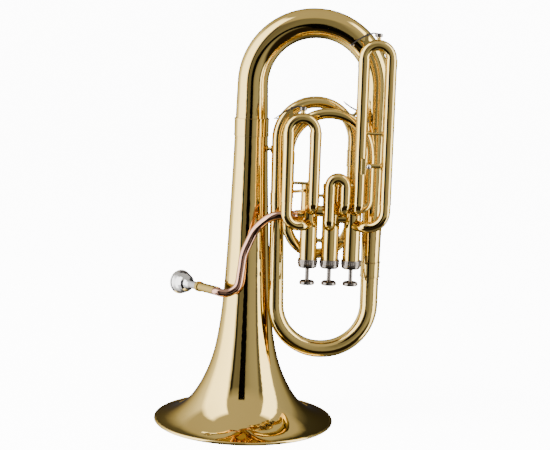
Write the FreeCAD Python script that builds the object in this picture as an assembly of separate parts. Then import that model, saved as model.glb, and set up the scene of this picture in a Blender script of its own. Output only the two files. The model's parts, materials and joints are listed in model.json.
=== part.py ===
import FreeCAD, Part
import math
import os
from collections import namedtuple
from FreeCAD import Placement, Rotation, Vector

# A three-valve euphonium, standing upside down on the rim of its bell.  Lengths are in millimetres.
# Origin: centre of the bell rim, on the surface it stands on.  +Z: up the bell.  +X: from the bell
# towards the valves.  -Y: the side the valve slides are on.

# ---- driving dimensions ----------------------------------------------------------------------

BELL_RADIUS = 140.0             # bell rim, outside
BORE = 15.2                     # cylindrical tubing, inside diameter
SHEET = 0.6                     # wall of the tapered tubing
FIT = 0.05                      # radial clearance of everything that slides or turns
EVEN = 0.02                     # radial gap under a soldered sleeve

# Bell, from the small end to the rim: radius and height of the outside.
BELL_PROFILE = [(25.4, 460), (26.9, 403), (28.9, 350), (33.0, 258), (36.9, 193), (43.4, 137),
                (51.8, 98.5), (67.4, 60.2), (90.5, 27), (117, 9.5), (136.8, 4.2)]
BEAD_RADIUS = 2.6
BEAD_HEIGHT = 2.4

# Upright tubes, by their place in plan.
BELL = Vector(0, 0, 0)
MAIN_LEG = Vector(188.3, -15, 0)        # branch below the main bow
RETURN_LEG = Vector(40.6, -14, 0)       # left leg of the return crook
RETURN_FOOT = Vector(46.0, -28, 0)      # the same leg where the lower bow begins
REAR_LEG = Vector(155.3, -4, 0)         # right legs of the return crook and the rear bow
TUNING_LEFT = Vector(58, -34.5, 0)
TUNING_RIGHT = Vector(178.5, -41, 0)
VALVES = [Vector(91.3, -48, 0), Vector(124.3, -48, 0), Vector(156.8, -48, 0)]
SLIDE_LINE = -80.0                      # the three valve slides stand in this plane
LEAN_JOINT = RETURN_FOOT + (RETURN_LEG - RETURN_FOOT) * 0.64    # the leaning leg, where its joint is
LEAN_BRACE = RETURN_FOOT + (RETURN_LEG - RETURN_FOOT) * 0.95    # and where it is braced to the bell

# Heights along the main tubing.
BELL_JOINT = 460.0
BOW_SPRING = 526.0              # where the main bow leaves its straight legs
BOW_RISE = 93.2                 # from there to its crown
BRANCH_JOINT = 248.5
LOWER_BOW_SPRING = 194.0
RETURN_JOINT = 353.0
RETURN_SPRING = 443.5           # centre of the return crook's arc
REAR_JOINT = 417.0
REAR_BOW_SPRING = 322.0
TUNING_SPRING = 426.0           # centre of the tuning slide's arc

# Radii along the main tubing.
BELL_END = 25.3
MAIN_BOW_RADII = (23.4, 18.9)
BOW_TAPER = 2.2                 # the main bow narrows slowly at first
BRANCH_FOOT = 14.2
LOWER_BOW_RADII = (13.9, 10.4)
LOWER_BOW_TAPER = 1.7           # the lower bow narrows slowly at first
RETURN_RADII = (10.2, 8.0)
REAR_RADII = (8.0, 7.7)

# Soldered sleeves over the joints of the main tubing: outer radius, and half their length.
BELL_SLEEVE = (26.4, 13.25)
BRANCH_SLEEVE = (14.75, 11.5)
RETURN_SLEEVE = (11.0, 9.0)
REAR_SLEEVE = (8.75, 11.75)

# Valves.
CASING_RADIUS = 13.2
CASING_BORE = 12.3
CASING_FOOT = 258.0             # button side
CASING_HEAD = 375.5
TRAVEL = 17.0
PORT_RADIUS = BORE / 2
LOW_PORT = 321.0                # height of the lower knuckle of each valve slide
HIGH_PORT = 345.0
INLETS = [334.5, 340.0, 331.0]
OUTLETS = [340.0, 331.0, 347.0]
PISTON_FOOT = 261.0
PISTON_FLOOR = 296.0
PISTON_HEAD = 356.0
GUIDE_HEIGHT = 291.0
GUIDE_THICKNESS = 2.5
STEM_RADIUS = 3.2
BUTTON_RADIUS = 11.6
BUTTON_FACE = 228.0
BUTTON_THICKNESS = 5.8

# Slides: outer tube, inner leg, ferrule.
BAND = 2.2                      # raised band at each end of an outer tube or a soldered sleeve
BAND_RISE = 0.35
LEG_RADIUS = BORE / 2 + 0.5
TUBE_BORE = LEG_RADIUS + FIT
TUBE_RADIUS = TUBE_BORE + 0.55
FERRULE_RADIUS = TUBE_RADIUS + BAND_RISE
KNUCKLE_RADIUS = BORE / 2 + 0.7
TUBE_FOOT = 357.0
ELBOW_BEND = 12.0
EXIT_BEND = 9.9

# spring: centre height of the bow's arc.  head: top of the outer tubes.  foot: end of the inner legs.
Slide = namedtuple("Slide", "name left right spring head foot")
FIRST = Slide("first_slide", Vector(56.8, SLIDE_LINE, 0), Vector(96.0, SLIDE_LINE, 0), 460.7, 452.0, 365.0)
SECOND = Slide("second_slide", Vector(120, SLIDE_LINE, 0), Vector(142.8, SLIDE_LINE, 0), 381.9, 372, 358.5)
THIRD = Slide("third_slide", Vector(162.8, SLIDE_LINE, 0), Vector(202, SLIDE_LINE, 0), 570.3, 558.5, 443.0)
TUNING = Slide("tuning_slide", TUNING_LEFT, TUNING_RIGHT, TUNING_SPRING, 415.0, 360.0)

# For each valve: its slide, the tubes of its low and high port, the plan points the low knuckle
# passes, and that knuckle's bends.
VALVE_SLIDES = [(FIRST, FIRST.left, FIRST.right, [Vector(82.8, -70, 0)], [20, 11]),
                (SECOND, SECOND.left, SECOND.right, [], [ELBOW_BEND]),
                (THIRD, THIRD.right, THIRD.left, [Vector(171.5, -71.5, 0)], [26, 12])]

# Leadpipe, receiver and mouthpiece.
LEADPIPE_RADII = (6.2, 6.9)
LEADPIPE_WALL = 0.55
RECEIVER_END = Vector(-46.4, -38, 211.3)
MOUTH_AXIS = Vector(-0.534, 0.844, -0.05)
RECEIVER_LENGTH = 55.0
RECEIVER_RADIUS = 6.9
MOUTHPIECE_LENGTH = 82.3
SHANK_IN_RECEIVER = 22.0
LAST_TURN = Vector(60.3, -63.2, 0)      # plan point the leadpipe passes before the first valve
LEADPIPE_ROUTE = [RECEIVER_END, Vector(-39.4, -49.5, 210.6), Vector(-12.9, -49, 209.3),
                  Vector(-5.4, -46, 271.8), Vector(11.6, -48, 311.0), Vector(35.6, -62, 333.5),
                  LAST_TURN + Vector(0, 0, 334)]
LEADPIPE_BENDS = [10, 22, 60, 50, 35, 20]

# Water keys.
PIVOT_OFFSET = -17.0            # along the lever, from the cup
PIVOT_HEIGHT = 6.0              # above the bow
PIN_RADIUS = 1.1
BARREL_RADIUS = 2.3
LEVER_WIDTH = 4.0
NIPPLE_HEIGHT = 3.2
CUP_RADIUS = 5.8
CUP_BORE = 4.9
CUP_HEIGHT = 4.4
TUNING_KEY_LEAN = math.radians(45)

# Stays and braces: heights.
BELL_BRACE = 428.0
BRANCH_BRACE = 369.0
FIRST_BRACE = 385.0
THIRD_BRACE = 461.0
CASING_BRACE = 371.0
LOW_STAY = 295.5
HIGH_STAY = 363.5

# Lyre socket, and its thumbscrew.
LYRE_HALF = 3.4
LYRE_BORE = 2.4
LYRE = Vector(166.9, SLIDE_LINE - TUBE_RADIUS - LYRE_HALF, 0)
LYRE_LOW = 402.0
LYRE_HIGH = 425.0
LYRE_MIDDLE = (LYRE_LOW + LYRE_HIGH) / 2
THUMBSCREW_RADIUS = 1.3
THUMBSCREW_BALL = 3.9
THUMBSCREW_REACH = 7.7          # from the socket's centre to the ball's

STEP = 12.0                     # spacing of the sections of a tapered tube
UP = Vector(0, 0, 1)


# ---- helpers ---------------------------------------------------------------------------------

def save(name, *solids):
    """Write one node, made of one solid or of several separate ones."""
    shape = solids[0] if len(solids) == 1 else Part.makeCompound(list(solids))
    shape.exportStep(f"parts/{name}.step")
    print(f"{name:28s} solids {len(shape.Solids)}  volume {shape.Volume / 1000:8.2f} cm3")


def at(plan, height):
    return Vector(plan.x, plan.y, height)


def unit(vector):
    return Vector(vector).normalize()


def across(direction):
    """A unit vector square to the given one."""
    other = UP if abs(unit(direction).z) < 0.9 else Vector(0, 1, 0)
    return unit(direction.cross(other))


def stand(origin, axis, side):
    """The placement that turns +Z to axis and +X towards side."""
    axis = unit(axis)
    side = unit(side - axis * side.dot(axis))
    return Placement(origin, Rotation(side, axis.cross(side), axis, "ZXY"))


def cylinder(radius, start, end):
    return Part.makeCylinder(radius, (end - start).Length, start, end - start)


def ring(outer, inner, start, end):
    return cylinder(outer, start, end).cut(cylinder(inner, start, end))


def column(plan, radius, low, high):
    return cylinder(radius, at(plan, low), at(plan, high))


def sleeve(plan, outer, inner, low, high):
    return ring(outer, inner, at(plan, low), at(plan, high))


def revolved(outline):
    """Turn a closed outline of (radius, height) points about +Z."""
    points = [Vector(radius, 0, height) for radius, height in outline]
    face = Part.Face(Part.makePolygon(points + points[:1]))
    return face.revolve(Vector(), UP, 360)


def circle(centre, direction, side, radius):
    edge = Part.makeCircle(radius)
    edge.Placement = stand(centre, direction, side)
    return Part.Wire([edge])


def rounded(corners, bends):
    """A wire of straight runs joined by tangent arcs; bends are the radii at the inner corners."""
    edges = []
    start = corners[0]
    for before, corner, after, radius in zip(corners, corners[1:], corners[2:], bends):
        into = unit(corner - before)
        onward = unit(after - corner)
        half = into.getAngle(onward) / 2
        first = corner - into * radius * math.tan(half)
        last = corner + onward * radius * math.tan(half)
        inward = unit(onward - into)
        middle = corner + inward * radius * (1 / math.cos(half) - 1)
        if (first - start).Length > 1e-6:
            edges.append(Part.LineSegment(start, first).toShape())
        edges.append(Part.Arc(first, middle, last).toShape())
        start = last
    if (corners[-1] - start).Length > 1e-6:
        edges.append(Part.LineSegment(start, corners[-1]).toShape())
    return Part.Wire(edges)


def bar(corners, bends, radius):
    """A round bar along straight runs and tangent arcs."""
    direction = corners[1] - corners[0]
    section = circle(corners[0], direction, across(direction), radius)
    return rounded(corners, bends).makePipeShell([section], True, False)


def tube(corners, bends, outer, inner):
    return bar(corners, bends, outer).cut(bar(corners, bends, inner))


def stations(wire):
    """Evenly spaced points along a wire, with the direction at each, from end to end."""
    edges = wire.OrderedEdges
    count = math.ceil(wire.Length / STEP)
    found = []
    passed = 0.0
    edge = edges.pop(0)
    for index in range(count + 1):
        distance = wire.Length * index / count
        while edges and distance > passed + edge.Length:
            passed += edge.Length
            edge = edges.pop(0)
        parameter = edge.getParameterByLength(min(distance - passed, edge.Length))
        found.append((edge.valueAt(parameter), edge.tangentAt(parameter)))
    return found


def tapered(places, radii):
    """A solid through circles at the given (point, direction) places."""
    side = across(places[0][1])
    sections = []
    for (point, direction), radius in zip(places, radii):
        side = unit(side - direction * side.dot(direction))
        sections.append(circle(point, direction, side, radius))
    return Part.makeLoft(sections, True, False)


def tapered_tube(places, radii, wall):
    """The tube, and the solid its outside encloses."""
    filled = tapered(places, radii)
    return filled.cut(tapered(places, [radius - wall for radius in radii])), filled


def distances(places):
    """The distance travelled from the first place to each of them."""
    travelled = [0.0]
    for (before, _), (after, _) in zip(places, places[1:]):
        travelled.append(travelled[-1] + (after - before).Length)
    return travelled


def taper(places, first, last, power=1.0):
    """Radii that change with the distance along the places; a power above 1 delays the change."""
    travelled = distances(places)
    return [first + (last - first) * (distance / travelled[-1]) ** power for distance in travelled]


def brace(first, first_radius, second, second_radius, height, radius=2.2, plate=4.6):
    """A rod between two upright tubes, with a saddle plate soldered round each tube."""
    start = at(first, height)
    end = at(second, height)
    body = cylinder(radius, start, end)
    direction = unit(end - start)
    thickness = 0.8
    for centre, tube_radius, way in ((start, first_radius, direction), (end, second_radius, -direction)):
        shell = column(centre, tube_radius + thickness, height - 10, height + 10)
        disc = cylinder(plate, centre, centre + way * (tube_radius + thickness))
        body = body.fuse(shell.common(disc))
    for centre, tube_radius in ((start, first_radius), (end, second_radius)):
        body = body.cut(column(centre, tube_radius, height - 20, height + 20))
    return body


# ---- bell and main tubing --------------------------------------------------------------------

def make_bell():
    outside = [Vector(radius, 0, height) for radius, height in BELL_PROFILE]
    curve = Part.BSplineCurve()
    curve.interpolate(outside)
    inside = Part.BSplineCurve()
    shifted = []
    for point in outside:
        tangent = curve.tangent(curve.parameter(point))[0]
        normal = Vector(tangent.z, 0, -tangent.x)
        shifted.append(point + normal * SHEET * (1 if normal.x < 0 else -1))
    inside.interpolate(shifted)
    edges = [curve.toShape(), inside.toShape(),
             Part.makeLine(outside[0], shifted[0]), Part.makeLine(outside[-1], shifted[-1])]
    flare = Part.Face(Part.Wire(Part.__sortEdges__(edges))).revolve(Vector(), UP, 360)
    bead = Part.makeTorus(BELL_RADIUS - BEAD_RADIUS, BEAD_RADIUS, Vector(0, 0, BEAD_HEIGHT), UP)
    body = flare.fuse(bead).removeSplitter()
    floor = Part.makeBox(400, 400, 20, Vector(-200, -200, -20))
    save("bell", body.cut(floor))


def soldered(joint, direction, size, *pipes):
    """A sleeve with a raised band at each end, round the joint between two pipes."""
    radius, half = size
    body = cylinder(radius, joint - direction * half, joint + direction * half)
    for foot in (joint - direction * half, joint + direction * (half - BAND)):
        body = body.fuse(cylinder(radius + BAND_RISE, foot, foot + direction * BAND))
    for pipe in pipes:
        body = body.cut(pipe)
    return body


def main_bow_places():
    """Places and radii along the main bow: a straight leg, half a circle, and the branch."""
    half = (MAIN_LEG - BELL).Length / 2
    crown = BOW_SPRING + BOW_RISE
    corners = [at(BELL, BELL_JOINT), at(BELL, crown), at(MAIN_LEG, crown), at(MAIN_LEG, BRANCH_JOINT)]
    places = stations(rounded(corners, [half - 0.5, half - 0.5]))
    travelled = distances(places)
    first, last = MAIN_BOW_RADII
    begin = BOW_SPRING - BELL_JOINT
    branch = BOW_SPRING - BRANCH_JOINT
    end = travelled[-1] - branch
    radii = []
    for distance in travelled:
        if distance < begin:
            radii.append(BELL_END + (first - BELL_END) * distance / begin)
        elif distance < end:
            share = (distance - begin) / (end - begin)
            radii.append(last + (first - last) * (1 - share ** BOW_TAPER))
        else:
            radii.append(last + (BRANCH_FOOT - last) * (distance - end) / branch)
    return places, radii


def make_main_tubing():
    """The bows from the bell to the rear leg; returns the filled main bow and return crook."""
    main_bow, main_filled = tapered_tube(*main_bow_places(), SHEET)
    save("main_bow", main_bow)
    bell_room = column(BELL, BELL_SLEEVE[0] - 0.55, BELL_JOINT - BELL_SLEEVE[1], BELL_JOINT + BELL_SLEEVE[1])
    save("bell_ferrule", soldered(at(BELL, BELL_JOINT), UP, BELL_SLEEVE, bell_room))

    # The lower bow, from the branch round to the foot of the return leg.
    span = MAIN_LEG - RETURN_FOOT
    bend = span.Length / 2
    bottom = LOWER_BOW_SPRING - bend
    joint = at(LEAN_JOINT, RETURN_JOINT)
    corners = [at(MAIN_LEG, BRANCH_JOINT), at(MAIN_LEG, bottom), at(RETURN_FOOT, bottom), joint]
    places = stations(rounded(corners, [bend - 0.5, bend - 1.5]))
    lower_bow, lower_filled = tapered_tube(places, taper(places, *LOWER_BOW_RADII, LOWER_BOW_TAPER), SHEET)
    save("lower_bow", lower_bow)

    # The return crook, over to the rear leg.
    span = REAR_LEG - RETURN_LEG
    bend = span.Length / 2
    crown = RETURN_SPRING + bend
    corners = [joint, at(RETURN_LEG, crown), at(REAR_LEG, crown), at(REAR_LEG, REAR_JOINT)]
    places = stations(rounded(corners, [bend - 1.5, bend - 0.5]))
    return_crook, return_filled = tapered_tube(places, taper(places, *RETURN_RADII), SHEET)
    save("return_crook", return_crook)

    # The rear bow, which hangs behind the valves, up to the left tube of the tuning slide.
    span = REAR_LEG - TUNING_LEFT
    bend = span.Length / 2
    bottom = REAR_BOW_SPRING - bend
    corners = [at(REAR_LEG, REAR_JOINT), at(REAR_LEG, bottom), at(TUNING_LEFT, bottom),
               at(TUNING_LEFT, TUBE_FOOT)]
    places = stations(rounded(corners, [bend, bend]))
    rear_bow, rear_filled = tapered_tube(places, taper(places, *REAR_RADII), SHEET)
    save("rear_bow", rear_bow)

    lean = unit(at(RETURN_LEG, RETURN_SPRING) - at(RETURN_FOOT, LOWER_BOW_SPRING))
    save("tube_ferrules",
         soldered(at(MAIN_LEG, BRANCH_JOINT), UP, BRANCH_SLEEVE, main_filled, lower_filled),
         soldered(joint, lean, RETURN_SLEEVE, lower_filled, return_filled),
         soldered(at(REAR_LEG, REAR_JOINT), UP, REAR_SLEEVE, return_filled, rear_filled))
    return main_filled, return_filled


# ---- leadpipe and mouthpiece -----------------------------------------------------------------

def make_leadpipe():
    inlet = at(VALVES[0], INLETS[0])
    places = stations(rounded(LEADPIPE_ROUTE + [inlet], LEADPIPE_BENDS))
    casing = column(VALVES[0], CASING_RADIUS, CASING_FOOT, CASING_HEAD)
    pipe, filled = tapered_tube(places, taper(places, *LEADPIPE_RADII), LEADPIPE_WALL)
    pieces = pipe.cut(casing).Solids
    save("leadpipe", max(pieces, key=lambda piece: piece.Volume))

    approach = unit(LEADPIPE_ROUTE[-1] - inlet)
    near = inlet + approach * (CASING_RADIUS - 2)
    far = inlet + approach * (CASING_RADIUS + 9)
    save("leadpipe_ferrule", cylinder(7.7, near, far).cut(filled).cut(casing))

    # The receiver, whose taper holds the mouthpiece's shank.
    axis = unit(MOUTH_AXIS)
    mouth = RECEIVER_END + axis * RECEIVER_LENGTH
    barrel = cylinder(RECEIVER_RADIUS, RECEIVER_END - axis * 6, mouth)
    collar = cylinder(RECEIVER_RADIUS + 1.1, mouth - axis * 7, mouth)
    body = barrel.fuse(collar)
    socket = Part.makeCone(shank_radius(0) + FIT, shank_radius(SHANK_IN_RECEIVER) + FIT,
                           SHANK_IN_RECEIVER, mouth - axis * SHANK_IN_RECEIVER, axis)
    throat = cylinder(shank_radius(0) - 0.4, RECEIVER_END, mouth - axis * (SHANK_IN_RECEIVER - 0.5))
    body = body.cut(socket).cut(throat).cut(filled)
    save("mouthpiece_receiver", max(body.Solids, key=lambda piece: piece.Volume))


def shank_radius(distance):
    """Outside of the mouthpiece's shank, at a distance from its small end."""
    return 5.35 + distance * 0.022


def make_mouthpiece():
    """The mouthpiece: its rim, bowl, throat and tapered shank, from the shank's end to the rim."""
    length = MOUTHPIECE_LENGTH
    outside = [(shank_radius(0), 0), (shank_radius(40), 40), (6.3, 46), (7.3, 51), (9.3, 54.8), (12.2, 58.3),
               (14.6, 62.8), (16.1, 68.3), (17.0, 74.3), (17.6, 77.3), (18.9, 78.5), (19.3, 80.1),
               (18.8, 81.6), (17.3, length), (15.2, 82.1), (13.6, 81)]
    inside = [(12.8, 78.8), (12.3, 72.3), (11.0, 65.3), (8.4, 58.8), (5.2, 54.8), (3.4, 51), (3.3, 44),
              (4.6, 0)]
    body = revolved(outside + inside)
    axis = unit(MOUTH_AXIS)
    start = RECEIVER_END + axis * (RECEIVER_LENGTH - SHANK_IN_RECEIVER)
    body.Placement = stand(start, axis, UP)
    save("mouthpiece", body)


# ---- valves ----------------------------------------------------------------------------------

def port_ways(index):
    """Direction and height of the four ports of a valve: inlet, outlet, low, high."""
    valve = VALVES[index]
    _, low_tube, high_tube, turns, _ = VALVE_SLIDES[index]
    low = (turns + [low_tube])[0]
    before = ([LAST_TURN] + VALVES)[index]
    after = (VALVES + [TUNING_RIGHT])[index + 1]
    return [(unit(before - valve), INLETS[index]), (unit(after - valve), OUTLETS[index]),
            (unit(low - valve), LOW_PORT), (unit(high_tube - valve), HIGH_PORT)]


def make_casing(index):
    valve = VALVES[index]
    body = column(valve, CASING_RADIUS, CASING_FOOT, CASING_HEAD)
    body = body.cut(column(valve, CASING_BORE, CASING_FOOT, CASING_HEAD))
    for way, height in port_ways(index):
        centre = at(valve, height)
        body = body.cut(cylinder(PORT_RADIUS, centre, centre + way * 20))
    save(f"valve_{index + 1}_casing", body)


def make_top_cap(index):
    """The cap on the button side: a knurled ring with a hole for the stem."""
    outline = [(4.0, -4.0), (12.4, -4.0), (13.3, -3.4), (14.3, -1.0), (14.6, 1.5), (15.0, 2.0), (15.0, 8.4),
               (14.6, 9.0), (CASING_RADIUS + FIT, 9.0), (CASING_RADIUS + FIT, -1.4), (4.0, -1.4)]
    body = revolved(outline)
    grooves = 36
    for step in range(grooves):
        angle = 2 * math.pi * step / grooves
        foot = Vector(15.3 * math.cos(angle), 15.3 * math.sin(angle), 2.6)
        body = body.cut(Part.makeCylinder(0.55, 5.2, foot))
    body.translate(at(VALVES[index], CASING_FOOT))
    save(f"valve_{index + 1}_top_cap", body)


def make_bottom_caps():
    """The caps on the far ends of the casings, each with a small air hole and a short skirt."""
    skirt = CASING_BORE - EVEN
    outline = [(1.6, 4.0), (1.6, 6.8), (9.0, 6.8), (9.6, 6.0), (12.6, 6.0), (13.5, 5.2), (13.7, 4.0),
               (13.7, 0), (skirt, 0), (skirt, -2.0), (11.0, -2.0), (11.0, 4.0)]
    caps = []
    for valve in VALVES:
        body = revolved(outline)
        body.translate(at(valve, CASING_HEAD))
        caps.append(body)
    save("valve_bottom_caps", *caps)


def make_piston(index):
    """A piston: the spring barrel on the button side, and the ported shell beyond its floor."""
    valve = VALVES[index]
    radius = CASING_BORE - FIT
    wall = 0.9
    body = column(valve, radius, PISTON_FOOT, PISTON_HEAD)
    body = body.cut(column(valve, radius - wall, PISTON_FOOT + 3, PISTON_FLOOR))
    body = body.cut(column(valve, radius - wall, PISTON_FLOOR + 1.2, PISTON_HEAD - 1.2))
    inlet, outlet, low, high = [at(valve, height) + way * radius * 1.1 for way, height in port_ways(index)]
    drop = UP * TRAVEL
    passages = [(inlet, outlet), (inlet - drop, low - drop), (high - drop, outlet - drop)]
    shell = column(valve, radius, PISTON_FOOT, PISTON_HEAD)
    passage_radius = 6.3
    for start, end in passages:
        body = body.fuse(cylinder(passage_radius + 0.5, start, end).common(shell))
    for start, end in passages:
        body = body.cut(cylinder(passage_radius, start, end))
    # slots that let the fixed guide stand across the spring barrel over the whole travel
    slot_low = GUIDE_HEIGHT - TRAVEL - 1.0
    slot_high = GUIDE_HEIGHT + GUIDE_THICKNESS + 1.0
    slot = Part.makeBox(30, 4.4, slot_high - slot_low, at(valve, slot_low) - Vector(15, 2.2, 0))
    body = body.cut(slot)
    body = body.cut(column(valve, STEM_RADIUS + 0.01, PISTON_FOOT, PISTON_FOOT + 3))
    save(f"valve_{index + 1}_piston", body)


def make_stem_and_button(index):
    valve = VALVES[index]
    top = BUTTON_FACE + BUTTON_THICKNESS
    stem = column(valve, STEM_RADIUS, BUTTON_FACE + 2.2, PISTON_FOOT + 3)
    save(f"valve_{index + 1}_stem", stem)
    outline = [(0, BUTTON_FACE + 0.7), (8.4, BUTTON_FACE + 0.3), (10.4, BUTTON_FACE),
               (BUTTON_RADIUS - 0.2, BUTTON_FACE + 0.8), (BUTTON_RADIUS, BUTTON_FACE + 2.2),
               (BUTTON_RADIUS - 0.5, top - 1.2), (9.6, top), (STEM_RADIUS + EVEN, top),
               (STEM_RADIUS + EVEN, BUTTON_FACE + 2.2), (0, BUTTON_FACE + 2.2)]
    button = revolved(outline)
    button.translate(valve)
    save(f"valve_{index + 1}_button", button)


def make_spring(index):
    """The valve spring, between the floor of the barrel and the fixed guide."""
    wire = 0.45
    low = PISTON_FOOT + 3.0 + wire + 0.1
    length = GUIDE_HEIGHT - low - wire - 0.2
    turns = 6
    radius = 8.4
    helix = Part.makeHelix(length / turns, length, radius)
    start = Vector(radius, 0, 0)
    section = circle(start, Vector(0, 1, length / turns / (2 * math.pi * radius)), Vector(1, 0, 0), wire)
    spring = helix.makePipeShell([section], True, True)
    spring.translate(at(VALVES[index], low))
    save(f"valve_{index + 1}_spring", spring)


def make_valve_trim():
    """Guides inside the casings, felts inside the caps, knuckles and stays between the casings."""
    guides = []
    felts = []
    for valve in VALVES:
        disc = column(valve, 9.4, GUIDE_HEIGHT, GUIDE_HEIGHT + GUIDE_THICKNESS)
        arm = Part.makeBox(2 * CASING_BORE, 3.8, GUIDE_THICKNESS,
                           at(valve, GUIDE_HEIGHT) - Vector(CASING_BORE, 1.9, 0))
        room = sleeve(valve, CASING_BORE - EVEN, 5.0, GUIDE_HEIGHT, GUIDE_HEIGHT + GUIDE_THICKNESS)
        guides.append(disc.fuse(arm).common(room))
        felts.append(sleeve(valve, 11.4, 4.5, CASING_FOOT - 1.3, CASING_FOOT + 2.7))
    save("valve_guides", *guides)
    save("cap_felts", *felts)

    knuckles = []
    stays = []
    casings = [column(valve, CASING_RADIUS, CASING_FOOT, CASING_HEAD) for valve in VALVES]
    for left in (0, 1):
        right = left + 1
        straight = ring(KNUCKLE_RADIUS, PORT_RADIUS, at(VALVES[left], OUTLETS[left]),
                        at(VALVES[right], INLETS[right]))
        knuckles.append(straight.cut(casings[left]).cut(casings[right]))
        for height, radius in ((LOW_STAY, 3.0), (HIGH_STAY, 2.4)):
            stays.append(brace(VALVES[left], CASING_RADIUS, VALVES[right], CASING_RADIUS, height, radius,
                               radius + 1.6))
    save("valve_knuckles", *knuckles)
    save("valve_stays", *stays)


# ---- slides ----------------------------------------------------------------------------------

def banded_tube(plan, low, high):
    """An outer slide tube with a raised band at each end."""
    body = sleeve(plan, TUBE_RADIUS, TUBE_BORE, low, high)
    body = body.fuse(sleeve(plan, FERRULE_RADIUS, TUBE_BORE, low, low + BAND))
    return body.fuse(sleeve(plan, FERRULE_RADIUS, TUBE_BORE, high - BAND, high))


def knuckle(corners, bends, valve):
    """A bent knuckle from a slide tube to its valve, trimmed to the casing."""
    pipe = tube(corners, bends, KNUCKLE_RADIUS, PORT_RADIUS)
    trimmed = pipe.cut(column(valve, CASING_RADIUS, CASING_FOOT, CASING_HEAD))
    return max(trimmed.Solids, key=lambda piece: piece.Volume)


def make_moving_half(slide):
    """The moving half of a slide: its bow, and its two inner legs with their ferrules."""
    bend = (slide.right - slide.left).Length / 2
    joint = (slide.head + slide.spring) / 2
    crown = slide.spring + bend
    corners = [at(slide.left, joint), at(slide.left, crown), at(slide.right, crown), at(slide.right, joint)]
    save(f"{slide.name}_bow", tube(corners, [bend, bend], LEG_RADIUS, BORE / 2))
    legs = []
    for plan in (slide.left, slide.right):
        leg = sleeve(plan, LEG_RADIUS, BORE / 2, slide.foot, joint)
        wide = sleeve(plan, FERRULE_RADIUS, LEG_RADIUS, slide.head + 0.1, joint)
        cuff = sleeve(plan, FERRULE_RADIUS, LEG_RADIUS + EVEN, joint, slide.spring)
        legs.append(leg.fuse(wide).fuse(cuff))
    save(f"{slide.name}_legs", *legs)


def make_valve_slide(index):
    """A valve slide: its two outer tubes, the knuckles down to the valve, and its moving half."""
    slide, low_tube, high_tube, turns, bends = VALVE_SLIDES[index]
    valve = VALVES[index]
    low = knuckle([at(low_tube, TUBE_FOOT)] + [at(plan, LOW_PORT) for plan in [low_tube, *turns, valve]],
                  bends, valve)
    high = knuckle([at(high_tube, TUBE_FOOT), at(high_tube, HIGH_PORT), at(valve, HIGH_PORT)],
                   [ELBOW_BEND], valve)
    save(f"{slide.name}_tubes", banded_tube(slide.left, TUBE_FOOT, slide.head),
         banded_tube(slide.right, TUBE_FOOT, slide.head), low, high)
    make_moving_half(slide)


def make_tuning_slide():
    """The main tuning slide, from the third valve's exit over to the rear bow."""
    valve = VALVES[2]
    outlet = OUTLETS[2]
    save("exit_elbow", knuckle([at(valve, outlet), at(TUNING_RIGHT, outlet), at(TUNING_RIGHT, TUBE_FOOT)],
                               [EXIT_BEND], valve))
    save("tuning_slide_tubes", banded_tube(TUNING_LEFT, TUBE_FOOT, TUNING.head),
         banded_tube(TUNING_RIGHT, TUBE_FOOT, TUNING.head))
    make_moving_half(TUNING)


# ---- water keys ------------------------------------------------------------------------------


def pin(radius, length, centre):
    """A cylinder across the lever."""
    return Part.makeCylinder(radius, length, centre - Vector(0, length / 2, 0), Vector(0, 1, 0))


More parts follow.
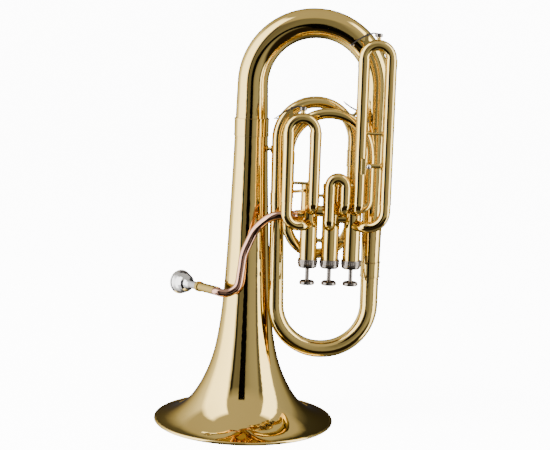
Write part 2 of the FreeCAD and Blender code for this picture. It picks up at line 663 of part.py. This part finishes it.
def make_water_key(slide, lean, tip_height):
    """A lever with a cup over a nipple on the outside of a slide's bow.

    The key is built with +X along the bow from the lever's tip to its cup, and +Z out from the bow.
    """
    span = slide.right - slide.left
    along = unit(span)
    bow_radius = span.Length / 2 + LEG_RADIUS
    outward = along * math.sin(lean) + UP * math.cos(lean)
    onward = along * math.cos(lean) - UP * math.sin(lean)
    middle = at((slide.left + slide.right) * 0.5, slide.spring)
    place = stand(middle + outward * bow_radius, outward, onward)

    # the lever's side view, from its tip over the pivot and its highest point to the cup
    tip = Vector(-41, 0, tip_height)
    knee = Vector(-30, 0, tip_height * 0.35 + 2.3)
    pivot = Vector(PIVOT_OFFSET, 0, PIVOT_HEIGHT)
    apex = Vector(-8, 0, 9.0)
    head = Vector(0, 0, NIPPLE_HEIGHT + CUP_HEIGHT + 0.6)
    above = UP * 1.1
    outline = [tip, tip + UP * 1.4, knee + above, pivot + above * 1.8, apex + above, head + above,
               head + Vector(3.5, 0, 1.1), head + Vector(3.5, 0, -0.9), head - UP * 0.9, apex - above,
               pivot - above, knee - above]
    side = Vector(0, -LEVER_WIDTH / 2, 0)
    lever = Part.Face(Part.makePolygon([point + side for point in outline + outline[:1]]))
    lever = lever.extrude(side * -2)
    paddle = Part.makeCylinder(4.2, 1.4, tip + Vector(2.4, 0, 0))
    cup_foot = Vector(0, 0, NIPPLE_HEIGHT + 0.8)
    cup = Part.makeCylinder(CUP_RADIUS, CUP_HEIGHT, cup_foot)
    recess = Part.makeCylinder(CUP_BORE, 2.0, cup_foot)
    barrel = pin(BARREL_RADIUS, 6.8, pivot)
    lever = lever.fuse(paddle).fuse(cup).fuse(barrel).cut(recess)
    lever = lever.cut(pin(PIN_RADIUS + FIT, 12, pivot))
    cork_foot = Vector(0, 0, NIPPLE_HEIGHT + FIT)
    cork = Part.makeCylinder(CUP_BORE - FIT, 2.6, cork_foot).cut(Part.makeCylinder(1.0, 0.5, cork_foot))

    # the saddle: two ears on a bridge, trimmed to the bow
    saddle_foot = -10.0
    saddle = Part.makeBox(7.0, 8.7, 8.0, Vector(PIVOT_OFFSET - 3.5, -4.35, saddle_foot))
    for ear_side in (-4.35, 4.35):
        centre = pivot + Vector(0, ear_side, 0)
        corner = Vector(PIVOT_OFFSET - 2.2, ear_side - 0.75, saddle_foot)
        post = Part.makeBox(2 * 2.2, 1.5, PIVOT_HEIGHT - saddle_foot, corner)
        saddle = saddle.fuse(post).fuse(pin(2.2, 1.5, centre))
    saddle = saddle.cut(pin(PIN_RADIUS + EVEN, 12, pivot))
    nipple = Part.makeCylinder(3.4, NIPPLE_HEIGHT + 4, Vector(0, 0, -4))
    nipple = nipple.cut(Part.makeCylinder(2.2, NIPPLE_HEIGHT + 5, Vector(0, 0, -5)))
    bow_centre = Vector(0, 0, -bow_radius)
    bow = Part.makeTorus(bow_radius - LEG_RADIUS, LEG_RADIUS + EVEN, bow_centre, Vector(0, 1, 0))
    saddle = max(saddle.cut(bow).Solids, key=lambda piece: piece.BoundBox.ZMax)
    nipple = max(nipple.cut(bow).Solids, key=lambda piece: piece.BoundBox.ZMax)

    screw = pin(PIN_RADIUS, 10.6, pivot).fuse(pin(1.9, 1.1, pivot - Vector(0, 5.75, 0)))
    nodes = {"water_key": [lever, cork], "water_key_saddle": [saddle, nipple], "water_key_screw": [screw]}
    for node, solids in nodes.items():
        for solid in solids:
            solid.Placement = place
        save(f"{slide.name}_{node}", *solids)


# ---- braces and lyre holder ------------------------------------------------------------------


def make_braces(main_filled, return_filled):
    save("slide_braces",
         brace(FIRST.left, TUBE_RADIUS, FIRST.right, TUBE_RADIUS, FIRST_BRACE),
         brace(THIRD.left, TUBE_RADIUS, THIRD.right, TUBE_RADIUS, THIRD_BRACE, 2.0, 4.0),
         brace(THIRD.left, TUBE_RADIUS, THIRD.right, TUBE_RADIUS, LYRE_MIDDLE, 3.4, 5.5),
         brace(FIRST.left, TUBE_RADIUS, VALVES[0], CASING_RADIUS, CASING_BRACE, 2.4, 4.0))
    share = (BRANCH_BRACE - BRANCH_JOINT) / (BOW_SPRING - BRANCH_JOINT)
    branch_radius = BRANCH_FOOT + (MAIN_BOW_RADII[-1] - BRANCH_FOOT) * share
    save("body_braces",
         brace(BELL, 26.3, LEAN_BRACE, 9.9, BELL_BRACE, 2.6, 5.5).cut(return_filled),
         brace(TUNING_RIGHT, TUBE_RADIUS, MAIN_LEG, branch_radius, BRANCH_BRACE, 2.2, 4.0).cut(main_filled))


def make_lyre_holder():
    """A socket for a music lyre on the third slide's tube, and its ball-headed thumbscrew."""
    length = LYRE_HIGH - LYRE_LOW
    corner = at(LYRE, LYRE_LOW) - Vector(LYRE_HALF, LYRE_HALF, 0)
    body = Part.makeBox(2 * LYRE_HALF, 2 * LYRE_HALF, length, corner)
    body = body.makeFillet(1.2, [edge for edge in body.Edges if abs(edge.tangentAt(0).z) > 0.9])
    foot = Part.makeBox(7, 9, 14, at(THIRD.left, LYRE_MIDDLE - 7) - Vector(1, 14, 0))
    body = body.fuse(foot).cut(column(LYRE, LYRE_BORE, LYRE_LOW, LYRE_HIGH))
    body = body.cut(column(THIRD.left, TUBE_RADIUS + EVEN, LYRE_LOW - 5, LYRE_HIGH + 5))
    middle = at(LYRE, LYRE_MIDDLE)
    body = body.cut(cylinder(THUMBSCREW_RADIUS + FIT, middle, middle + Vector(10, 0, 0)))
    save("lyre_socket", body)
    reach = Vector(THUMBSCREW_REACH, 0, 0)
    shaft = cylinder(THUMBSCREW_RADIUS, middle + Vector(LYRE_BORE + 0.2, 0, 0), middle + reach)
    ball = Part.makeSphere(THUMBSCREW_BALL, middle + reach)
    save("lyre_screw", shaft.fuse(ball))


# ---- the whole instrument --------------------------------------------------------------------

os.makedirs("parts", exist_ok=True)
make_bell()
filled_bow, filled_crook = make_main_tubing()
make_leadpipe()
make_mouthpiece()
for number in range(3):
    make_casing(number)
    make_top_cap(number)
    make_piston(number)
    make_stem_and_button(number)
    make_spring(number)
make_bottom_caps()
make_valve_trim()
for number in range(3):
    make_valve_slide(number)
make_tuning_slide()
make_water_key(FIRST, 0.0, -10.0)
make_water_key(THIRD, 0.0, -10.0)
make_water_key(TUNING, TUNING_KEY_LEAN, 0.0)
make_braces(filled_bow, filled_crook)
make_lyre_holder()
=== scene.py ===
import json
import math

import bmesh
import bpy
from mathutils import Matrix, Vector


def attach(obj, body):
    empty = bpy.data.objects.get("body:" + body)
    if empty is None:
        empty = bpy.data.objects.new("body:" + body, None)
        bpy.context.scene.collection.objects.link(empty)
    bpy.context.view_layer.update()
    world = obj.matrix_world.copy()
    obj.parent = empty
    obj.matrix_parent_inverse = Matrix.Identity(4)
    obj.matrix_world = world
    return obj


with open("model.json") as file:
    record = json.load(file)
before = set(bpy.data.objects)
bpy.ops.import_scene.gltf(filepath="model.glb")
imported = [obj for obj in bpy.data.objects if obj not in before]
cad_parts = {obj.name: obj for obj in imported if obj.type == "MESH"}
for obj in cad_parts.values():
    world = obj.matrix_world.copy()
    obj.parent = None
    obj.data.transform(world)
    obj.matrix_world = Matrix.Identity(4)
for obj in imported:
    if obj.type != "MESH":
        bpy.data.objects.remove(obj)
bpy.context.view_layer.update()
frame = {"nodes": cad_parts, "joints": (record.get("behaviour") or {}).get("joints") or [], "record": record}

# A euphonium of lacquered brass, standing upside down on its bell rim in a bright studio.
# Metres, in the CAD frame: origin at the centre of the bell rim, +Z up the bell, -Y to the viewer.

NODES = frame["nodes"]
JOINTS = {joint["name"]: joint for joint in frame["joints"]}
SLOTS = {part["node"]: part["material_slot"] for part in frame["record"]["subparts"]}

# Camera: where it stands, how far down and round it looks, and its lens.
CAMERA_PLACE = Vector((0.04045, -2.0588, 0.6054))
CAMERA_PITCH = math.radians(8.17)
CAMERA_ROLL = math.radians(1.85)
SENSOR = 36.0
LENS = 88.36

# Studio: brightness of the walls and of the light boxes by the angle round from the camera, minus
# to the left, as shares of STUDIO_STRENGTH.
STUDIO_STRENGTH = 5.2
STUDIO_WALL = [
    (-180, 0.01), (-165, 0.03), (-150, 0.16), (-130, 0.24), (-100, 0.40), (-44, 0.30), (-41, 0.004),
    (-36, 0.004), (-32, 0.040), (-19, 0.036), (-12, 0.045), (5, 0.05), (10, 0.07), (20, 0.09),
    (44, 0.10), (48, 0.025), (55, 0.03), (95, 0.11), (128, 0.10), (141, 0.035), (155, 0.012),
    (180, 0.01)]
STUDIO_BOXES = [(-112, 0.0), (-100, 0.8), (-50, 1.0), (-45, 0.0), (56, 0.0), (58, 1.0), (92, 1.0),
                (95, 0.0)]
STUDIO_FRONT = [(-80, 0.0), (-62, 1.0), (62, 1.0), (80, 0.0)]   # a dark cloth low in front
STUDIO_LAMP = (0.95, 0.95, 0.95)
STUDIO_CEILING = (0.125, 0.12, 0.11)
STUDIO_TABLE = (0.03, 0.028, 0.025)
STUDIO_CLOTH = (0.004, 0.003, 0.002)

# The same by the height above the horizon: what fades in or out over each range of degrees.
CEILING_RISE = (34, 42)
BOX_TOP = (58, 64)
BOX_FOOT = (-46, -42)
TABLE_EDGE = (-70, -50)
CLOTH_FOOT = (-64, -58)
CLOTH_TOP = (-26, -18)

# The black card's corners, the floor, and the light that falls on felt and cork.
CARD_CORNERS = (Vector((-0.150, -0.60, 0.10)), Vector((0.050, -0.60, 0.58)))
FLOOR_GLOW = 11.0
FLOOR_REACH = 6.0
FLOOR_BEND = 4.0
FLOOR_TOP = 14.0
KEY_PLACE = Vector((-1.2, -1.0, 2.4))
KEY_AIM = Vector((0.05, 0.0, 0.3))
KEY_SIZE = 1.2
KEY_POWER = 120.0

# The solder lines: their thickness, and for each upright sleeve its node and its reach in X.
SOLDER_THICKNESS = 0.0003
SOLDER_INSET = 0.0003
SLEEVES = [("bell_ferrule", -1.0, 1.0), ("tube_ferrules", 0.17, 1.0), ("tube_ferrules", 0.10, 0.17)]

# Where the cork of a water key is, measured from its pivot, and how far each key leans.
CORK_REACH = 0.0170             # along the lever
CORK_RADIUS = 0.0049
CORK_LOW = -0.0030              # outwards from the bow
CORK_HIGH = -0.0001
KEY_LEANS = {"first_slide": 0.0, "third_slide": 0.0, "tuning_slide": math.radians(45)}

UP = Vector((0, 0, 1))


# ---- node helpers ----------------------------------------------------------------------------

class Tree:
    """Adds nodes to a node tree, each with its inputs given by name or index."""

    def __init__(self, tree):
        self.tree = tree
        tree.nodes.clear()

    def add(self, kind, inputs=None, **settings):
        node = self.tree.nodes.new(kind)
        for name, value in settings.items():
            setattr(node, name, value)
        for key, value in (inputs or {}).items():
            if isinstance(value, bpy.types.NodeSocket):
                self.tree.links.new(value, node.inputs[key])
            else:
                node.inputs[key].default_value = value
        return node

    def math(self, operation, first, second=0.0):
        return self.add("ShaderNodeMath", {0: first, 1: second}, operation=operation).outputs[0]

    def ramp(self, factor, stops, interpolation="LINEAR"):
        """A colour ramp; each stop is a position with a grey level or a colour."""
        node = self.add("ShaderNodeValToRGB", {"Fac": factor})
        ramp = node.color_ramp
        ramp.interpolation = interpolation
        while len(ramp.elements) < len(stops):
            ramp.elements.new(1.0)
        for element, (position, level) in zip(ramp.elements, stops):
            element.position = position
            colour = level if hasattr(level, "__len__") else (level, level, level)
            element.color = (*colour, 1.0)
        return node.outputs["Color"]

    def mix(self, factor, first, second, blend="MIX"):
        node = self.add("ShaderNodeMix", data_type="RGBA", blend_type=blend)
        for key, value in ((0, factor), (6, first), (7, second)):
            if isinstance(value, bpy.types.NodeSocket):
                self.tree.links.new(value, node.inputs[key])
            else:
                node.inputs[key].default_value = (*value, 1.0) if hasattr(value, "__len__") else value
        return node.outputs[2]

    def noise(self, where, scale, detail=4.0, roughness=0.5, stretch=(1.0, 1.0, 1.0)):
        mapped = self.add("ShaderNodeMapping", {"Vector": where, "Scale": stretch}).outputs[0]
        inputs = {"Vector": mapped, "Scale": scale, "Detail": detail, "Roughness": roughness}
        return self.add("ShaderNodeTexNoise", inputs).outputs["Fac"]

    def bump(self, height, strength, distance, under=None):
        inputs = {"Height": height, "Strength": strength, "Distance": distance, **(under or {})}
        return self.add("ShaderNodeBump", inputs).outputs[0]


# ---- materials -------------------------------------------------------------------------------

EDGE_TINT = (0.50, 0.42, 0.34, 1.0)     # worn metal is darker seen edge on than clean metal


def new_material(name):
    material = bpy.data.materials.new(name)
    material.use_nodes = True
    return material, Tree(material.node_tree)


def polished(name, colour, crevice_shade, roughness, coat=0.0, ripple=0.02):
    """Polished metal: slow colour drift, painted shade in crevices, thin handling marks, fine hairlines, a
    soft ripple.
    """
    material, tree = new_material(name)
    where = tree.add("ShaderNodeTexCoord").outputs["Object"]
    drift = tree.noise(where, 9.0, 3.0)
    smears = tree.noise(where, 26.0, 5.0, 0.6, (1.0, 1.0, 0.35))
    hairlines = tree.noise(where, 420.0, 2.0, 0.5, (1.0, 1.0, 0.06))
    corners = tree.add("ShaderNodeNewGeometry").outputs["Pointiness"]
    crevice = tree.ramp(corners, [(0.34, 1.0), (0.44, 0.0)])
    smudge = tree.ramp(smears, [(0.42, 0.0), (0.75, 1.0)])

    base = tree.mix(tree.ramp(drift, [(0.35, 0.0), (0.65, 1.0)]), colour, [c * 0.94 for c in colour])
    # painted shade: where pointiness marks a concave corner or joint, the base colour darkens to the given
    # dark crevice colour, where shade falls
    base = tree.mix(crevice, base, crevice_shade)
    low, high = roughness
    spread = {"Value": smudge, "To Min": low, "To Max": high}
    rough = tree.add("ShaderNodeMapRange", spread).outputs[0]
    rough = tree.math("ADD", rough, tree.math("MULTIPLY", crevice, 0.12))

    swell = tree.noise(where, 30.0, 1.0, 0.4)
    soft = tree.bump(swell, ripple, 0.002)
    fine = tree.bump(hairlines, 0.02, 0.0002, {"Normal": soft})
    shader = tree.add("ShaderNodeBsdfPrincipled", {
        "Base Color": base, "Metallic": 1.0, "Roughness": rough, "Normal": fine,
        "Specular Tint": EDGE_TINT, "Coat Weight": coat, "Coat Roughness": 0.03, "Coat IOR": 1.5})
    tree.add("ShaderNodeOutputMaterial", {"Surface": shader.outputs[0]})
    return material


def cork_material():
    material, tree = new_material("cork")
    where = tree.add("ShaderNodeTexCoord").outputs["Object"]
    cells = tree.add("ShaderNodeTexVoronoi", {"Vector": where, "Scale": 1800.0}).outputs["Distance"]
    grain = tree.noise(where, 700.0, 5.0, 0.7)
    patches = tree.ramp(grain, [(0.35, 0.0), (0.65, 1.0)])
    colour = tree.mix(patches, (0.36, 0.20, 0.09), (0.62, 0.41, 0.22))
    colour = tree.mix(tree.ramp(cells, [(0.0, 0.6), (0.25, 0.0)]), colour, (0.16, 0.08, 0.04))
    pores = tree.bump(cells, 0.5, 0.0003)
    shader = tree.add("ShaderNodeBsdfPrincipled", {
        "Base Color": colour, "Roughness": 0.85, "Normal": pores})
    tree.add("ShaderNodeOutputMaterial", {"Surface": shader.outputs[0]})
    return material


def felt_material():
    material, tree = new_material("felt")
    where = tree.add("ShaderNodeTexCoord").outputs["Object"]
    fibres = tree.noise(where, 1500.0, 6.0, 0.7, (1.0, 1.0, 0.3))
    colour = tree.mix(fibres, (0.012, 0.012, 0.014), (0.07, 0.065, 0.07))
    nap = tree.bump(fibres, 0.8, 0.0004)
    shader = tree.add("ShaderNodeBsdfPrincipled", {
        "Base Color": colour, "Roughness": 0.95, "Normal": nap,
        "Sheen Weight": 0.4, "Sheen Roughness": 0.5})
    tree.add("ShaderNodeOutputMaterial", {"Surface": shader.outputs[0]})
    return material


MATERIALS = {
    "lacquered_brass": polished("lacquered_brass", (0.86, 0.62, 0.19), (0.20, 0.12, 0.04),
                                (0.03, 0.09), coat=0.08),
    "rose_brass": polished("rose_brass", (0.66, 0.36, 0.25), (0.22, 0.11, 0.07),
                           (0.07, 0.15), coat=0.10),
    "silver_plate": polished("silver_plate", (0.88, 0.87, 0.86), (0.40, 0.38, 0.36), (0.05, 0.14)),
    "nickel_plate": polished("nickel_plate", (0.30, 0.265, 0.23), (0.10, 0.08, 0.07), (0.14, 0.30)),
    "spring_steel": polished("spring_steel", (0.55, 0.55, 0.56), (0.25, 0.25, 0.25), (0.15, 0.28)),
    "felt": felt_material(),
}
CORK = cork_material()
SOLDER = polished("solder", (0.30, 0.22, 0.12), (0.08, 0.05, 0.03), (0.30, 0.50))


def dress_nodes():
    """Give every CAD node the material of its slot, and the corks of the water keys theirs."""
    for name, node in NODES.items():
        node.data.materials.clear()
        node.data.materials.append(MATERIALS[SLOTS[name]])
    for slide, lean in KEY_LEANS.items():
        joint = JOINTS[f"{slide}_key_press"]
        side = Vector(joint["axis"])
        outward = Matrix.Rotation(lean, 3, side) @ UP
        onward = side.cross(outward)
        if onward.x < 0:
            onward = -onward
        mesh = NODES[f"{slide}_water_key"].data
        mesh.materials.append(CORK)
        for face in mesh.polygons:
            offset = face.center - Vector(joint["pos_m"])
            height = offset.dot(outward)
            reach = (offset - outward * height - onward * CORK_REACH).length
            if reach < CORK_RADIUS and CORK_LOW < height < CORK_HIGH:
                face.material_index = 1


# ---- pieces the CAD model leaves out ---------------------------------------------------------

def turned(name, place, axis, outline, material, body, sides=64):
    """A piece turned about an axis, from a closed outline of (radius, distance along the axis)."""
    bm = bmesh.new()
    basis = axis.to_track_quat("Z", "Y").to_matrix()
    loops = []
    for radius, along in outline:
        loop = []
        for side in range(sides):
            angle = 2 * math.pi * side / sides
            spoke = Vector((radius * math.cos(angle), radius * math.sin(angle), along))
            loop.append(bm.verts.new(place + basis @ spoke))
        loops.append(loop)
    for this, following in zip(loops, loops[1:] + loops[:1]):
        for side in range(sides):
            after = (side + 1) % sides
            bm.faces.new((this[side], this[after], following[after], following[side]))
    bmesh.ops.recalc_face_normals(bm, faces=bm.faces)
    mesh = bpy.data.meshes.new(name)
    bm.to_mesh(mesh)
    bm.free()
    mesh.polygons.foreach_set("use_smooth", [True] * len(mesh.polygons))
    mesh.materials.append(material)
    piece = bpy.data.objects.new(name, mesh)
    bpy.context.scene.collection.objects.link(piece)
    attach(piece, body)
    return piece


def bead(radius, thickness, steps=8):
    """The outline of a round wire ring."""
    angles = [2 * math.pi * step / steps for step in range(steps)]
    return [(radius + thickness * math.cos(angle), thickness * math.sin(angle)) for angle in angles]


def make_solder_lines():
    """The thin dark line of solder round each end of the upright sleeves."""
    for index, (node, lowest, highest) in enumerate(SLEEVES):
        corners = [v.co for v in NODES[node].data.vertices if lowest < v.co.x < highest]
        middle = sum(corners, Vector()) / len(corners)
        foot = min(corner.z for corner in corners)
        head = max(corner.z for corner in corners)
        radius = max((corner.xy - middle.xy).length for corner in corners)
        outline = bead(radius - SOLDER_INSET, SOLDER_THICKNESS)
        for end, height in (("foot", foot), ("head", head)):
            place = Vector((middle.x, middle.y, height))
            piece = turned(f"solder_line_{index + 1}_{end}", place, UP, outline, SOLDER, "body")


# ---- floor, light and camera -----------------------------------------------------------------

def make_floor():
    """A pale floor that rises far off into a backdrop all round."""
    bm = bmesh.new()
    rings = [(FLOOR_REACH / 3, 0.0), (FLOOR_REACH, 0.0)]
    steps = 12
    for step in range(1, steps + 1):
        angle = math.pi / 2 * step / steps
        rings.append((FLOOR_REACH + FLOOR_BEND * math.sin(angle), FLOOR_BEND * (1 - math.cos(angle))))
    rings.append((FLOOR_REACH + FLOOR_BEND, FLOOR_TOP))
    sides = 64
    angles = [2 * math.pi * side / sides for side in range(sides)]
    loops = []
    for reach, height in rings:
        places = [(reach * math.cos(angle), reach * math.sin(angle), height) for angle in angles]
        loops.append([bm.verts.new(place) for place in places])
    bm.faces.new(loops[0])
    for inner, outer in zip(loops, loops[1:]):
        for side in range(sides):
            after = (side + 1) % sides
            bm.faces.new((inner[side], outer[side], outer[after], inner[after]))
    mesh = bpy.data.meshes.new("floor")
    bm.to_mesh(mesh)
    bm.free()
    mesh.polygons.foreach_set("use_smooth", [True] * len(mesh.polygons))
    floor = bpy.data.objects.new("floor", mesh)
    bpy.context.scene.collection.objects.link(floor)

    material, tree = new_material("floor")
    where = tree.add("ShaderNodeTexCoord").outputs["Object"]
    grain = tree.noise(where, 40.0, 3.0)
    colour = tree.mix(grain, (0.90, 0.90, 0.90), (0.94, 0.94, 0.94))
    shader = tree.add("ShaderNodeBsdfPrincipled", {
        "Base Color": colour, "Roughness": 0.7, "Specular IOR Level": 0.2,
        "Emission Color": (1.0, 1.0, 1.0, 1.0), "Emission Strength": FLOOR_GLOW})
    tree.add("ShaderNodeOutputMaterial", {"Surface": shader.outputs[0]})
    mesh.materials.append(material)
    floor.visible_glossy = False        # the metal mirrors the studio, and light comes from it too
    floor.visible_diffuse = False
    floor.visible_shadow = False


def turn(degrees):
    """An angle round from the camera, minus to the left, as a share of the full turn."""
    return degrees / 360 + 0.5


def fade(heights, before, after):
    """Ramp stops for a change between two heights above the horizon, in degrees."""
    low, high = [(math.sin(math.radians(degrees)) + 1) / 2 for degrees in heights]
    return [(low, before), (high, after)]


def make_studio():
    """The studio that the metal mirrors: a pale backdrop, tall light boxes, and dark gaps."""
    world = bpy.data.worlds.new("studio")
    bpy.context.scene.world = world
    world.use_nodes = True
    tree = Tree(world.node_tree)
    direction = tree.add("ShaderNodeTexCoord").outputs["Generated"]
    x, y, z = tree.add("ShaderNodeSeparateXYZ", {0: direction}).outputs
    azimuth = tree.math("ARCTAN2", x, tree.math("MULTIPLY", y, -1.0))
    share = tree.math("ADD", tree.math("DIVIDE", azimuth, 2 * math.pi), 0.5)
    height = tree.math("ADD", tree.math("MULTIPLY", z, 0.5), 0.5)

    walls = tree.ramp(share, [(turn(degrees), level) for degrees, level in STUDIO_WALL])
    boxes = tree.ramp(share, [(turn(degrees), level) for degrees, level in STUDIO_BOXES])
    front = tree.ramp(share, [(turn(degrees), level) for degrees, level in STUDIO_FRONT])
    above = tree.ramp(height, fade(CEILING_RISE, 0.0, 1.0))
    box_top = tree.ramp(height, fade(BOX_TOP, 1.0, 0.0))
    box_foot = tree.ramp(height, fade(BOX_FOOT, 0.0, 1.0))
    below = tree.ramp(height, fade(TABLE_EDGE, 1.0, 0.0))
    low = tree.ramp(height, fade(CLOTH_FOOT, 0.0, 1.0) + fade(CLOTH_TOP, 1.0, 0.0))
    colour = tree.mix(above, walls, STUDIO_CEILING)
    colour = tree.mix(below, colour, STUDIO_TABLE)
    boxes = tree.math("MULTIPLY", boxes, tree.math("MULTIPLY", box_top, box_foot))
    colour = tree.mix(boxes, colour, STUDIO_LAMP)
    colour = tree.mix(tree.math("MULTIPLY", front, low), colour, STUDIO_CLOTH)
    background = tree.add("ShaderNodeBackground", {"Color": colour, "Strength": STUDIO_STRENGTH})
    tree.add("ShaderNodeOutputWorld", {"Surface": background.outputs[0]})


def make_card():
    """A narrow black card close in front, seen only in the metal: the dark stripe down each tube."""
    low, high = CARD_CORNERS
    bm = bmesh.new()
    corners = [(low.x, low.z), (high.x, low.z), (high.x, high.z), (low.x, high.z)]
    bm.faces.new([bm.verts.new((x, low.y, z)) for x, z in corners])
    mesh = bpy.data.meshes.new("card")
    bm.to_mesh(mesh)
    bm.free()
    card = bpy.data.objects.new("card", mesh)
    bpy.context.scene.collection.objects.link(card)
    material, tree = new_material("card")
    where = tree.add("ShaderNodeTexCoord").outputs["Object"]
    weave = tree.noise(where, 300.0, 2.0)
    colour = tree.mix(weave, (0.002, 0.002, 0.002), (0.006, 0.005, 0.004))
    shader = tree.add("ShaderNodeBsdfPrincipled", {
        "Base Color": colour, "Roughness": 1.0, "Specular IOR Level": 0.0})
    tree.add("ShaderNodeOutputMaterial", {"Surface": shader.outputs[0]})
    mesh.materials.append(material)
    card.visible_camera = False
    card.visible_diffuse = False
    card.visible_shadow = False


def make_key_light():
    light = bpy.data.lights.new("key", "AREA")
    light.shape = "RECTANGLE"
    light.size = KEY_SIZE
    light.size_y = KEY_SIZE
    light.energy = KEY_POWER
    lamp = bpy.data.objects.new("key", light)
    aim = (KEY_AIM - KEY_PLACE).to_track_quat("-Z", "Y").to_matrix().to_4x4()
    lamp.matrix_world = Matrix.Translation(KEY_PLACE) @ aim
    lamp.visible_glossy = False
    bpy.context.scene.collection.objects.link(lamp)


def make_camera():
    camera = bpy.data.cameras.new("camera")
    camera.sensor_width = SENSOR
    camera.lens = LENS
    camera.clip_end = 50.0
    eye = bpy.data.objects.new("camera", camera)
    tilt = Matrix.Rotation(math.pi / 2 - CAMERA_PITCH, 4, "X")
    roll = Matrix.Rotation(CAMERA_ROLL, 4, "Z")
    eye.matrix_world = Matrix.Translation(CAMERA_PLACE) @ tilt @ roll
    bpy.context.scene.collection.objects.link(eye)
    bpy.context.scene.camera = eye


# ---- the scene -------------------------------------------------------------------------------

dress_nodes()
make_solder_lines()
make_floor()
make_studio()
make_card()
make_key_light()
make_camera()
